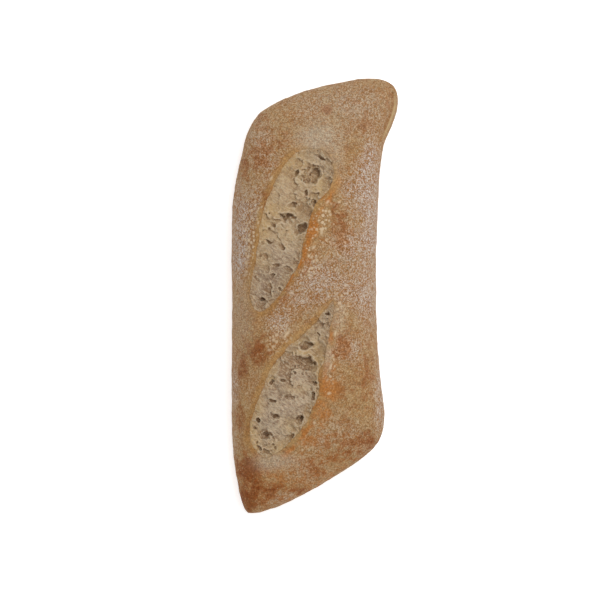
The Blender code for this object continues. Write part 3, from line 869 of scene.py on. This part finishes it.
def bubbles(mouth, holes, rng):
    """Seeded bubbles: small ones along the edges and in clumps, wide dishes, and cells in holes.

    Each is x, y, length, width, depth, turn, and how far its middle lies below the surface.
    """
    low, high = mouth.points.min(0), mouth.points.max(0)
    spots = rng.uniform(low, high, (BUBBLE_TRIES, 2))
    out = mouth.signed_distance(spots)
    within = out < -BUBBLE_INSET
    spots, out = spots[within], out[within]
    share = right_share(mouth, spots)
    clumps = relief(spots, CLUMP_SIZE, rng.uniform(*CLUMP_SEEDS))
    wanted = EDGE_BUBBLES * bump(out + EDGE_BUBBLES_AT, EDGE_BUBBLES_WIDTH)
    wanted *= EDGE_BUBBLES_LEFT + EDGE_BUBBLES_RIGHT * share
    wanted += CLUMP_BUBBLES * smoothstep(clumps, *CLUMP_RANGE)
    chosen = np.flatnonzero(rng.uniform(0, 1, len(spots)) < wanted)[:SMALL_BUBBLES]
    made = []
    for x, y in spots[chosen]:
        length = BUBBLE_LENGTH + BUBBLE_LENGTH_MORE * rng.uniform() ** BUBBLE_LENGTH_POWER
        width = length * rng.uniform(*BUBBLE_WIDTH)
        depth = rng.uniform(*BUBBLE_DEPTH) * width + BUBBLE_DEPTH_MORE
        turn = CRUMB_FIBRE_TURN + rng.normal() * BUBBLE_TURN
        made.append((x, y, length, width, depth, turn, HOLE_SINK * depth))
    for x, y in spots[rng.integers(0, len(spots), DISHES)]:
        length = rng.uniform(*DISH_LENGTH)
        width = length * rng.uniform(*BUBBLE_WIDTH)
        turn = CRUMB_FIBRE_TURN + rng.normal() * DISH_TURN
        made.append((x, y, length, width, rng.uniform(*DISH_DEPTH), turn, 0.0))
    for x, y, length, width, depth, turn in holes:
        for _ in range(int(length * width * CELLS_PER_AREA)):
            a, reach = rng.uniform(0, 2 * math.pi), CELL_REACH * rng.uniform() ** 0.5
            b = math.radians(turn)
            dx, dy = reach * length * math.cos(a), reach * width * math.sin(a)
            spot = x + dx * math.cos(b) - dy * math.sin(b), y + dx * math.sin(b) + dy * math.cos(b)
            size = rng.uniform(*CELL_SIZE)
            sunk = BOWL_SHARE * depth * (1 - 4 * reach**2)
            turned_by = rng.uniform(0, 180)
            made.append((*spot, size, size * CELL_WIDTH, size * CELL_DEPTH, turned_by, sunk))
    return made


def blurred(field, reach):
    """A grid of values, softly averaged over so many cells to each side."""
    width = 2 * reach + 1
    for _ in range(4):
        total = np.cumsum(np.pad(field, ((reach + 1, reach), (0, 0)), "edge"), 0)
        field = ((total[width:] - total[:-width]) / width).T
    return field


def make_crumb(name, mouth, holes, seed):
    rng = np.random.default_rng(seed)
    low = mouth.points.min(0) - CRUMB_MARGIN - 2 * VOXEL
    high = mouth.points.max(0) + CRUMB_MARGIN + 2 * VOXEL
    shape = np.ceil((high - low) / VOXEL).astype(int)
    x = low[0] + np.arange(shape[0]) * VOXEL
    y = low[1] + np.arange(shape[1]) * VOXEL
    xy = np.stack(np.meshgrid(x, y, indexing="ij"), -1).reshape(-1, 2)
    out = mouth.signed_distance(xy).reshape(shape)
    level = np.arange(-CRUMB_DOWN, CRUMB_UP, VOXEL)

    def wave(size, turn=0.0, stretch=1.0):
        return lattice(shape, low, size, turn, stretch, rng)

    surface = sum(height * wave(size, CRUMB_WAVE_TURN * size) for size, height in CRUMB_WAVES)
    for width, length, height in CRUMB_FIBRES:
        fibres = 1 - 2 * np.abs(wave(width, CRUMB_FIBRE_TURN, length / width))
        surface += height * fibres * (FIBRE_EVEN + FIBRE_UNEVEN * wave(FIBRE_UNEVEN_SIZE))
    surface *= 1 - EDGE_CALM * smoothstep(-out, EDGE_CALM_WIDTH, 0.0)
    tucked = UNDER_CRUST_SLOPE * np.clip(out + UNDER_CRUST_START, 0.0, None)
    surface -= tucked
    unbroken = surface.copy()
    shift_x, shift_y = HOLE_WANDER * wave(HOLE_WANDER_SIZE), HOLE_WANDER * wave(HOLE_WANDER_SIZE)
    rugged = 1 + HOLE_RUGGED * sum(height * wave(size) for size, height in HOLE_RUGGED_WAVES)

    def across_hole(px, py, length, width, turn):
        """The part of the grid round a hole, how far right it lies, and its distance in radii."""
        reach = HOLE_REACH * length + HOLE_REACH_MORE
        ia, ib = np.searchsorted(x, (px - reach, px + reach))
        ja, jb = np.searchsorted(y, (py - reach, py + reach))
        part = (slice(ia, ib), slice(ja, jb))
        loose = min(1.0, width / LOOSE_WIDTH)
        dx = x[ia:ib, None] - px + loose * shift_x[part]
        dy = y[None, ja:jb] - py + loose * shift_y[part]
        toward = dx * FAR_RIGHT[0] + dy * FAR_RIGHT[1]
        along, across = turned(dx, dy, turn)
        radii = np.sqrt((along / (length / 2)) ** 2 + (across / (width / 2)) ** 2)
        return part, toward, radii * rugged[part]

    for px, py, length, width, depth, turn in holes:
        part, toward, size = across_hole(px, py, length, width, turn)
        lean = 1 + BOWL_LEAN * np.clip(toward / width, -1.0, 1.0)
        surface[part] -= BOWL_SHARE * depth * lean * np.clip(1 - size**2, 0.0, None)
        raised = BOWL_RIM * bump(size - BOWL_RIM_AT, BOWL_RIM_WIDTH)
        surface[part] += raised * smoothstep(-out[part], 0.0, BOWL_RIM_INSET)
    body = level[None, None, :] - surface[:, :, None]
    for px, py, length, width, depth, turn, sunk in pockets(holes) + bubbles(mouth, holes, rng):
        part, toward, size = across_hole(px, py, length, width, turn)
        down = (level[None, None, :] + sunk + HOLE_TILT * toward[:, :, None]) / depth
        size = np.sqrt(size[:, :, None] ** 2 + down**2)
        hole = (1 - size) * min(width / 2, depth)
        there = body[part]
        body[part] = 0.5 * (there + hole + np.sqrt((there - hole) ** 2 + RIM_OF_BUBBLE**2))
    top = level[len(level) - 1 - (body < 0)[:, :, ::-1].argmax(2)] + tucked
    # How far the top stands above its surroundings; the finish paints highlight on crests and shade in
    # hollows by it
    ridge = top - blurred(top, RIDGE_REACH)
    grid = openvdb.FloatGrid(VOLUME_EMPTY)
    grid.copyFromArray(body.astype(np.float32))
    points, _, quads = grid.convertToPolygons(isovalue=0.0, adaptivity=0.0)
    points = np.asarray(points, float)
    quads = np.asarray(quads, int)
    i, j = np.clip(np.round(points[:, :2]).astype(int), 0, shape - 1).T
    out = out[i, j]
    height = points[:, 2] * VOXEL - CRUMB_DOWN
    keep = (out[quads].max(1) < CRUMB_MARGIN) & (height[quads].min(1) > -CRUMB_TRIM)
    place = np.column_stack([low + points[:, :2] * VOXEL, height])
    place, faces, used = used_only(place, quads[keep][:, ::-1])
    place[:, 2] += crumb_height(place[:, :2], out[used])
    mesh = new_mesh(name, place, faces)
    # How deep each point lies below the unbroken surface, by which the finish paints shade in the
    # holes
    put_attribute(mesh, "deep", np.clip(unbroken[i, j] - height, 0.0, None)[used])
    put_attribute(mesh, "ridge", ridge[i, j][used])
    put_attribute(mesh, "lip", out[used])
    for tint, table in CRUMB_PATCHES.items():
        put_attribute(mesh, tint, patches(place[:, :2], table))
    add_piece(name, mesh, crumb_finish())


def seen(color):
    """A linear surface colour from the colour that it shows under the studio light."""
    c = np.array(color) / 255
    line = np.where(c <= 0.04045, c / 12.92, ((c + 0.055) / 1.055) ** 2.4) * GAIN
    return (*line, 1.0)


class Finish:
    """The nodes of one material, whose textures are sized in millimetres."""

    def __init__(self, name):
        self.material = bpy.data.materials.new(name)
        self.material.use_nodes = True
        self.tree = self.material.node_tree
        self.shader = self.tree.nodes["Principled BSDF"]
        self.color = None
        place = self.node("TexCoord").outputs["Object"]
        self.mm = self.node("VectorMath", {0: place, "Scale": 1 / MM}, operation="SCALE").outputs[0]

    def feed(self, node, inputs):
        """Gives a node's inputs their values, or links them to other nodes' outputs."""
        for name, value in inputs.items():
            if isinstance(value, bpy.types.NodeSocket):
                self.tree.links.new(value, node.inputs[name])
            else:
                node.inputs[name].default_value = value

    def node(self, kind, inputs=None, **settings):
        made = self.tree.nodes.new("ShaderNode" + kind)
        for name, value in settings.items():
            setattr(made, name, value)
        self.feed(made, inputs or {})
        return made

    def attribute(self, name):
        return self.node("Attribute", attribute_name=name).outputs["Fac"]

    def drawn_out(self, turn, stretch):
        """Places for a texture that is drawn out along a direction."""
        inputs = {"Vector": self.mm, "Rotation": (0, 0, math.radians(turn)), "Scale": (stretch, 1, 1)}
        return self.node("Mapping", inputs, vector_type="TEXTURE").outputs[0]

    def noise(self, size, detail=2.0, rough=0.5, twist=0.0, at=None):
        return self.node("TexNoise", {
            "Vector": at or self.mm, "Scale": 1 / size, "Detail": detail, "Roughness": rough,
            "Distortion": twist,
        }).outputs["Fac"]

    def cells(self, size, at=None):
        """Cells of about this size, with the distance from each one's middle in its size."""
        return self.node("TexVoronoi", {"Vector": at or self.mm, "Scale": 1 / size})

    def dots(self, size, radius, share):
        """1 on small dots of uneven size, with a top radius in cells, in a share of the cells."""
        cells = self.cells(size)
        split = self.node("SeparateColor", {0: cells.outputs["Color"]})
        picked = self.math("LESS_THAN", split.outputs[0], share)
        far = self.math("ADD", cells.outputs["Distance"], self.times(split.outputs[1], 0.6 * radius))
        return self.times(self.between(far, radius, radius + 0.12, 1, 0), picked)

    def math(self, operation, a, b=0.0):
        return self.node("Math", {0: a, 1: b}, operation=operation).outputs[0]

    def times(self, *values):
        product = values[0]
        for value in values[1:]:
            product = self.math("MULTIPLY", product, value)
        return product

    def rest(self, share):
        """What a share leaves of the whole."""
        return self.math("SUBTRACT", 1.0, share)

    def between(self, value, low, high, start=0.0, stop=1.0):
        """Goes smoothly from start to stop as the value goes from low to high."""
        inputs = {"Value": value, "From Min": low, "From Max": high, "To Min": start, "To Max": stop}
        return self.node("MapRange", inputs, interpolation_type="SMOOTHSTEP").outputs["Result"]

    def uneven(self, value, noise, least, most):
        """Adds an amount from least to most to a value, by a noise."""
        return self.math("ADD", value, self.between(noise, 0.3, 0.7, least, most))

    def mix(self, share, first, second, blend="MIX"):
        inputs = {0: share, 6: first, 7: second}
        return self.node("Mix", inputs, data_type="RGBA", blend_type=blend).outputs[2]

    def paint(self, shown, share, strength=None):
        """Lays a colour over what the finish has so far."""
        if strength:
            share = self.times(share, strength)
        self.color = self.mix(share, self.color, seen(shown))

    def bumped(self, layers):
        """Joins bump layers, each a height, a depth in millimetres and a strength."""
        normal = {}
        for height, depth, strength in layers:
            inputs = {"Strength": strength, "Distance": depth * MM, "Height": height, **normal}
            normal = {"Normal": self.node("Bump", inputs).outputs[0]}
        self.feed(self.shader, normal)


def crust_finish():
    """Golden-brown crust: baked patches, one of them painted shade on the left flank, a crackle of
    flour, and bare golden and orange lips.
    """
    f = Finish("floured_crust")
    broad, middle = f.noise(15.0, 3.0, 0.55), f.noise(4.5, 4.0, 0.65)
    crackle, grain = f.noise(2.2, 2.0, 0.55, 1.0), f.noise(0.9, 2.0, 0.6)
    ragged = f.uneven(f.attribute("lip"), middle, -1.5, 1.5)
    floury = f.attribute("floury")
    f.color = f.mix(f.between(broad, 0.38, 0.62), seen(TAN), seen(GOLDEN))
    f.paint(BROWN, f.between(middle, 0.45, 0.65), 0.6)
    off_line = f.math("ABSOLUTE", f.math("SUBTRACT", crackle, 0.5))
    cracks = f.between(off_line, 0.0, 0.085, 1.0, 0.0)
    veil = f.math("ADD", f.times(floury, 0.6), f.between(broad, 0.35, 0.7, 0.3, 0.55))
    # The baked patches are the crust's own darker baking, except the one on the left flank, which is
    # painted shade
    for name, shown, bare in (
        ("orange", LIP_ORANGE, 0.85), ("yellow", LIP_YELLOW, 0.65), ("baked", DARK_BROWN, 0.35)
    ):
        patch = f.uneven(f.attribute(name), middle, -0.35, 0.25)
        share = f.between(patch, 0.08, 0.95)
        f.paint(shown, share)
        veil = f.times(veil, f.rest(f.times(share, bare)))
    toasted = share
    pale = f.times(f.attribute("pale"), f.between(middle, 0.3, 0.6, 0.7, 1.0))
    f.paint(PALE_CRUST, pale)
    f.paint(LIP_TAN, f.times(f.between(ragged, -0.6, 1.4, 0.5, 0.0), f.rest(pale)))
    veil = f.times(veil, f.between(ragged, 1.0, 4.0, 0.1, 1.0))
    cover = f.times(veil, f.rest(cracks), f.between(grain, 0.35, 0.6, 0.5, 1.0))
    powder = f.mix(floury, seen(FLOUR_WARM), seen(FLOUR_WHITE))
    f.color = f.mix(cover, f.color, f.mix(toasted, powder, seen(FLOUR_TOASTED)))
    lines = f.times(cracks, f.between(ragged, 0.0, 3.0), f.between(veil, 0.1, 0.8, 0.5, 0.7))
    f.paint(CRACK_BROWN, lines)
    speck = f.between(grain, 0.3, 0.7, 0.74, 1.27)
    shade = f.node("CombineColor", {0: speck, 1: speck, 2: speck}).outputs[0]
    f.color = f.mix(1.0, f.color, shade, "MULTIPLY")
    f.paint(FLECK, f.dots(1.5, 0.2, 0.35), 0.4)
    dots = f.times(f.dots(2.1, 0.42, 0.7), f.attribute("dotted"), f.between(ragged, 0.5, 2.5))
    f.paint(FLECK, dots, 0.9)
    for name, shown, strength in (
        ("fleck", FLECK, 0.9), ("strip", STRIP_CREAM, 0.9), ("seam", BROWN, 0.8), ("low", BROWN, 0.6)
    ):
        f.paint(shown, f.attribute(name), strength)
    f.feed(f.shader, {
        "Base Color": f.color,
        "Roughness": f.between(crackle, 0.3, 0.7, 0.62, 0.9),
        "Specular IOR Level": 0.12,
    })
    f.bumped([(middle, 0.8, 0.5), (off_line, 0.3, 0.8), (grain, 0.15, 0.5)])
    return f.material


def crumb_finish():
    """Greyish-beige crumb with fine fibres and creamy, dull and bright patches; the dull ones are
    painted shade in its hollows.

    It is browner in its holes and along the torn edge, partly its own colour and partly painted shade.
    Painted highlight makes its crests lighter, and painted shade makes its hollows and pores darker.
    """
    f = Finish("airy_crumb")
    fibre_at = f.drawn_out(CRUMB_FIBRE_TURN, 3.4)
    mottle, fibre = f.noise(3.5, 3.0, 0.6), f.noise(0.9, 3.0, 0.65, 1.2, fibre_at)
    middle, grain = f.noise(4.5, 4.0, 0.65), f.noise(0.6, 2.0, 0.6)
    cells = f.cells(1.2, f.drawn_out(CRUMB_FIBRE_TURN, 1.5)).outputs["Distance"]
    ragged = f.uneven(f.attribute("lip"), middle, -1.5, 1.5)
    f.color = f.mix(f.between(mottle, 0.35, 0.65), seen(CRUMB_GREY), seen(CRUMB_BEIGE))
    # Painted shade: the dull patches darken the crumb in its hollows
    f.paint(CRUMB_DULL, f.attribute("dull"), 0.8)
    f.paint(CRUMB_LIGHT, f.attribute("bright"), 0.7)
    # Partly painted shade: a darker tan band within 6 mm of the torn edge, where the crust shades the
    # crumb; partly the crumb's own browner edge
    f.paint(EDGE_TAN_AND_SHADE, f.between(ragged, -6.0, -0.8, 0.0, 0.8))
    cream = f.times(f.attribute("creamy"), f.between(mottle, 0.3, 0.6, 0.6, 0.95))
    f.paint(CREAM, cream)
    f.paint(EDGE_BROWN, f.between(ragged, -1.6, 1.0, 0.0, 0.45))
    # Painted shade in the holes, browner the deeper a point lies; partly the crumb's own browner
    # colour there
    deep = f.uneven(f.attribute("deep"), mottle, 0.6, -0.6)
    f.paint(HOLE_BROWN_AND_SHADE, f.between(deep, 0.2, 1.9, 0.0, 0.9))
    # Painted shade in small pores: dark spots in the middle of fine cells
    pore_shade = f.times(f.between(cells, 0.12, 0.5, 1.0, 0.0), f.between(mottle, 0.62, 0.4, 0.2, 0.8))
    f.paint(CRUMB_DULL, pore_shade)
    f.paint(CRUMB_LIGHT, f.between(fibre, 0.5, 0.62), 0.75)
    f.paint(CRUMB_DULL, f.between(fibre, 0.47, 0.36), 0.6)
    f.paint(CREAM, cream, 0.5)
    # Painted highlight on the crumb's crests and painted shade in its hollows, by the ridge attribute
    f.paint(CRUMB_LIGHT, f.between(f.attribute("ridge"), 0.08, 0.45, 0.0, 0.6))
    f.paint(PIT_SHADE_BROWN, f.between(f.attribute("ridge"), -0.2, -0.9, 0.0, 0.45))
    f.feed(f.shader, {
        "Base Color": f.color,
        "Roughness": f.between(grain, 0.3, 0.7, 0.8, 0.98),
        "Specular IOR Level": 0.2,
        "Subsurface Weight": 0.4,
        "Subsurface Radius": (1.0, 0.7, 0.5),
        "Subsurface Scale": 1.5 * MM,
    })
    f.bumped([(fibre, 0.3, 0.6), (cells, 0.4, 0.5), (grain, 0.15, 0.5)])
    return f.material


def floor_finish():
    """A pale floor that gives off a little light, so that the loaf's shadow stays faint."""
    f = Finish("pale_floor")
    f.feed(f.shader, {
        "Base Color": f.mix(f.noise(180.0, 2.0), (0.90, 0.90, 0.90, 1), (0.93, 0.93, 0.93, 1)),
        "Roughness": 0.9,
        "Specular IOR Level": 0.1,
        "Emission Color": (1.0, 1.0, 1.0, 1.0),
        "Emission Strength": FLOOR_GLOW,
    })
    return f.material


def make_floor():
    mesh = bpy.data.meshes.new("floor")
    corners = [(x * FLOOR_HALF, y * FLOOR_HALF, 0) for x, y in ((-1, -1), (1, -1), (1, 1), (-1, 1))]
    mesh.from_pydata(corners, [], [(0, 1, 2, 3)])
    floor = new_object("floor", mesh)
    floor.data.materials.append(floor_finish())
    floor.location.z = -FLOOR_DROP * MM


def make_light():
    """Soft light from all round, with one broad lamp above the loaf's far right."""
    world = bpy.data.worlds.new("studio")
    bpy.context.scene.world = world
    world.use_nodes = True
    back = world.node_tree.nodes["Background"]
    back.inputs["Color"].default_value = (1.0, 1.0, 1.0, 1.0)
    back.inputs["Strength"].default_value = WORLD_STRENGTH
    lamp = bpy.data.lights.new("softbox", "AREA")
    lamp.shape = "SQUARE"
    lamp.size = LAMP_SIZE
    lamp.energy = LAMP_POWER
    softbox = new_object("softbox", lamp)
    softbox.location = LAMP_PLACE
    softbox.rotation_mode = "QUATERNION"
    softbox.rotation_quaternion = softbox.location.to_track_quat("Z", "Y")
    bpy.context.scene.view_settings.view_transform = "Standard"


def make_camera():
    """A long lens straight above the loaf, whose length runs up the picture."""
    camera = bpy.data.cameras.new("camera")
    camera.sensor_width = SENSOR
    camera.lens = SENSOR * (CAMERA_HEIGHT - FOCUS_HEIGHT) / FRAME_WIDTH
    camera.clip_end = 4 * CAMERA_HEIGHT
    eye = new_object("camera", camera)
    eye.location = (CAMERA_X * MM, CAMERA_Y * MM, CAMERA_HEIGHT)
    bpy.context.scene.camera = eye


def main():
    for thing in list(bpy.data.objects):
        bpy.data.objects.remove(thing, do_unlink=True)
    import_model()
    make_crust()
    make_crumb("crumb_far", MOUTHS[0], FAR_HOLES, CRUMB_SEEDS[0])
    make_crumb("crumb_near", MOUTHS[1], NEAR_HOLES, CRUMB_SEEDS[1])
    make_floor()
    make_light()
    make_camera()


main()
